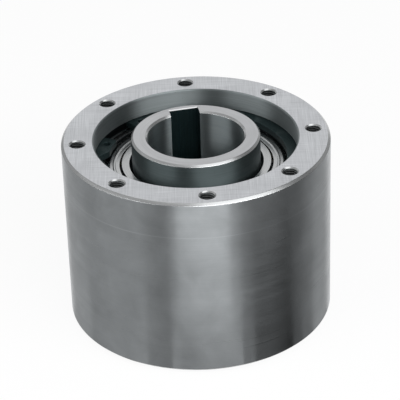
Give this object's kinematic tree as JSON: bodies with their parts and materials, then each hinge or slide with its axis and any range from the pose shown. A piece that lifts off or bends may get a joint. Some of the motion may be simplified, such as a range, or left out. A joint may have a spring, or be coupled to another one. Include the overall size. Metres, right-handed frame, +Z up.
{
  "type": "cam clutch bearing",
  "caption": "Freewheel clutch of wedge cams on its own shielded ball bearings: plain cylindrical outer race with tapped end faces, and an inner race with a keyed bore.",
  "frame": {"origin": "centre of the inner race's lower end face, on which the part stands, on the axis of rotation", "axes": "+Z up along the axis of rotation; +X through one of the tapped holes"},
  "size_m": [0.125, 0.125, 0.091],
  "materials": {
    "outer_race_steel": "turned side, ground end faces",
    "inner_race_steel": "ground ends, hardened and honed bore",
    "circlip_steel": "dark phosphated spring steel",
    "bearing_ring_steel": "ground and polished",
    "shield_sheet": "bright pressed sheet",
    "ball_steel": "polished",
    "ball_cage_polymer": "moulded polyamide",
    "cam_steel": "hardened and polished",
    "cam_cage_steel": "turned and slotted",
    "spring_steel": "rolled flat wire"
  },
  "bodies": {
    "housing": {"outer_race": "outer_race_steel", "cam_cage": "cam_cage_steel", "upper_bearing_outer_ring": "bearing_ring_steel", "upper_cam_spring": "spring_steel", "upper_circlip": "circlip_steel", "upper_inboard_shield": "shield_sheet", "upper_outboard_shield": "shield_sheet", "lower_bearing_outer_ring": "bearing_ring_steel", "lower_cam_spring": "spring_steel", "lower_circlip": "circlip_steel", "lower_inboard_shield": "shield_sheet", "lower_outboard_shield": "shield_sheet"},
    "hub": {"inner_race": "inner_race_steel", "upper_bearing_inner_ring": "bearing_ring_steel", "lower_bearing_inner_ring": "bearing_ring_steel"},
    "upper_ball_set": {"upper_balls": "ball_steel", "upper_ball_cage": "ball_cage_polymer"},
    "lower_ball_set": {"lower_balls": "ball_steel", "lower_ball_cage": "ball_cage_polymer"},
    "cam_01": {"cam_01": "cam_steel"},
    "cam_02": {"cam_02": "cam_steel"},
    "cam_03": {"cam_03": "cam_steel"},
    "cam_04": {"cam_04": "cam_steel"},
    "cam_05": {"cam_05": "cam_steel"},
    "cam_06": {"cam_06": "cam_steel"},
    "cam_07": {"cam_07": "cam_steel"},
    "cam_08": {"cam_08": "cam_steel"},
    "cam_09": {"cam_09": "cam_steel"},
    "cam_10": {"cam_10": "cam_steel"},
    "cam_11": {"cam_11": "cam_steel"},
    "cam_12": {"cam_12": "cam_steel"},
    "cam_13": {"cam_13": "cam_steel"},
    "cam_14": {"cam_14": "cam_steel"},
    "cam_15": {"cam_15": "cam_steel"},
    "cam_16": {"cam_16": "cam_steel"},
    "cam_17": {"cam_17": "cam_steel"},
    "cam_18": {"cam_18": "cam_steel"},
    "cam_19": {"cam_19": "cam_steel"},
    "cam_20": {"cam_20": "cam_steel"}
  },
  "joints": [
    {"name": "inner_race_spin", "type": "hinge", "parent": "housing", "child": "hub", "pos_m": [0, 0, 0.0455], "axis": [0, 0, 1], "continuous": true},
    {"name": "upper_ball_orbit", "type": "hinge", "parent": "housing", "child": "upper_ball_set", "pos_m": [0, 0, 0.068], "axis": [0, 0, 1], "continuous": true},
    {"name": "lower_ball_orbit", "type": "hinge", "parent": "housing", "child": "lower_ball_set", "pos_m": [0, 0, 0.023], "axis": [0, 0, 1], "continuous": true},
    {"name": "cam_01_tilt", "type": "hinge", "parent": "housing", "child": "cam_01", "pos_m": [0.03716, 0, 0.0455], "axis": [0, 0, 1], "range_deg": [-5, 5]},
    {"name": "cam_02_tilt", "type": "hinge", "parent": "housing", "child": "cam_02", "pos_m": [0.03535, 0.01148, 0.0455], "axis": [0, 0, 1], "range_deg": [-5, 5]},
    {"name": "cam_03_tilt", "type": "hinge", "parent": "housing", "child": "cam_03", "pos_m": [0.03007, 0.02184, 0.0455], "axis": [0, 0, 1], "range_deg": [-5, 5]},
    {"name": "cam_04_tilt", "type": "hinge", "parent": "housing", "child": "cam_04", "pos_m": [0.02184, 0.03007, 0.0455], "axis": [0, 0, 1], "range_deg": [-5, 5]},
    {"name": "cam_05_tilt", "type": "hinge", "parent": "housing", "child": "cam_05", "pos_m": [0.01148, 0.03535, 0.0455], "axis": [0, 0, 1], "range_deg": [-5, 5]},
    {"name": "cam_06_tilt", "type": "hinge", "parent": "housing", "child": "cam_06", "pos_m": [0, 0.03716, 0.0455], "axis": [0, 0, 1], "range_deg": [-5, 5]},
    {"name": "cam_07_tilt", "type": "hinge", "parent": "housing", "child": "cam_07", "pos_m": [-0.01148, 0.03535, 0.0455], "axis": [0, 0, 1], "range_deg": [-5, 5]},
    {"name": "cam_08_tilt", "type": "hinge", "parent": "housing", "child": "cam_08", "pos_m": [-0.02184, 0.03007, 0.0455], "axis": [0, 0, 1], "range_deg": [-5, 5]},
    {"name": "cam_09_tilt", "type": "hinge", "parent": "housing", "child": "cam_09", "pos_m": [-0.03007, 0.02184, 0.0455], "axis": [0, 0, 1], "range_deg": [-5, 5]},
    {"name": "cam_10_tilt", "type": "hinge", "parent": "housing", "child": "cam_10", "pos_m": [-0.03535, 0.01148, 0.0455], "axis": [0, 0, 1], "range_deg": [-5, 5]},
    {"name": "cam_11_tilt", "type": "hinge", "parent": "housing", "child": "cam_11", "pos_m": [-0.03716, 0, 0.0455], "axis": [0, 0, 1], "range_deg": [-5, 5]},
    {"name": "cam_12_tilt", "type": "hinge", "parent": "housing", "child": "cam_12", "pos_m": [-0.03535, -0.01148, 0.0455], "axis": [0, 0, 1], "range_deg": [-5, 5]},
    {"name": "cam_13_tilt", "type": "hinge", "parent": "housing", "child": "cam_13", "pos_m": [-0.03007, -0.02184, 0.0455], "axis": [0, 0, 1], "range_deg": [-5, 5]},
    {"name": "cam_14_tilt", "type": "hinge", "parent": "housing", "child": "cam_14", "pos_m": [-0.02184, -0.03007, 0.0455], "axis": [0, 0, 1], "range_deg": [-5, 5]},
    {"name": "cam_15_tilt", "type": "hinge", "parent": "housing", "child": "cam_15", "pos_m": [-0.01148, -0.03535, 0.0455], "axis": [0, 0, 1], "range_deg": [-5, 5]},
    {"name": "cam_16_tilt", "type": "hinge", "parent": "housing", "child": "cam_16", "pos_m": [0, -0.03716, 0.0455], "axis": [0, 0, 1], "range_deg": [-5, 5]},
    {"name": "cam_17_tilt", "type": "hinge", "parent": "housing", "child": "cam_17", "pos_m": [0.01148, -0.03535, 0.0455], "axis": [0, 0, 1], "range_deg": [-5, 5]},
    {"name": "cam_18_tilt", "type": "hinge", "parent": "housing", "child": "cam_18", "pos_m": [0.02184, -0.03007, 0.0455], "axis": [0, 0, 1], "range_deg": [-5, 5]},
    {"name": "cam_19_tilt", "type": "hinge", "parent": "housing", "child": "cam_19", "pos_m": [0.03007, -0.02184, 0.0455], "axis": [0, 0, 1], "range_deg": [-5, 5]},
    {"name": "cam_20_tilt", "type": "hinge", "parent": "housing", "child": "cam_20", "pos_m": [0.03535, -0.01148, 0.0455], "axis": [0, 0, 1], "range_deg": [-5, 5]}
  ],
  "couplings": [
    {"joint": "upper_ball_orbit", "follows": "inner_race_spin", "ratio": 0.42903},
    {"joint": "lower_ball_orbit", "follows": "inner_race_spin", "ratio": 0.42903},
    {"joint": "cam_02_tilt", "follows": "cam_01_tilt", "ratio": 1},
    {"joint": "cam_03_tilt", "follows": "cam_01_tilt", "ratio": 1},
    {"joint": "cam_04_tilt", "follows": "cam_01_tilt", "ratio": 1},
    {"joint": "cam_05_tilt", "follows": "cam_01_tilt", "ratio": 1},
    {"joint": "cam_06_tilt", "follows": "cam_01_tilt", "ratio": 1},
    {"joint": "cam_07_tilt", "follows": "cam_01_tilt", "ratio": 1},
    {"joint": "cam_08_tilt", "follows": "cam_01_tilt", "ratio": 1},
    {"joint": "cam_09_tilt", "follows": "cam_01_tilt", "ratio": 1},
    {"joint": "cam_10_tilt", "follows": "cam_01_tilt", "ratio": 1},
    {"joint": "cam_11_tilt", "follows": "cam_01_tilt", "ratio": 1},
    {"joint": "cam_12_tilt", "follows": "cam_01_tilt", "ratio": 1},
    {"joint": "cam_13_tilt", "follows": "cam_01_tilt", "ratio": 1},
    {"joint": "cam_14_tilt", "follows": "cam_01_tilt", "ratio": 1},
    {"joint": "cam_15_tilt", "follows": "cam_01_tilt", "ratio": 1},
    {"joint": "cam_16_tilt", "follows": "cam_01_tilt", "ratio": 1},
    {"joint": "cam_17_tilt", "follows": "cam_01_tilt", "ratio": 1},
    {"joint": "cam_18_tilt", "follows": "cam_01_tilt", "ratio": 1},
    {"joint": "cam_19_tilt", "follows": "cam_01_tilt", "ratio": 1},
    {"joint": "cam_20_tilt", "follows": "cam_01_tilt", "ratio": 1}
  ]
}
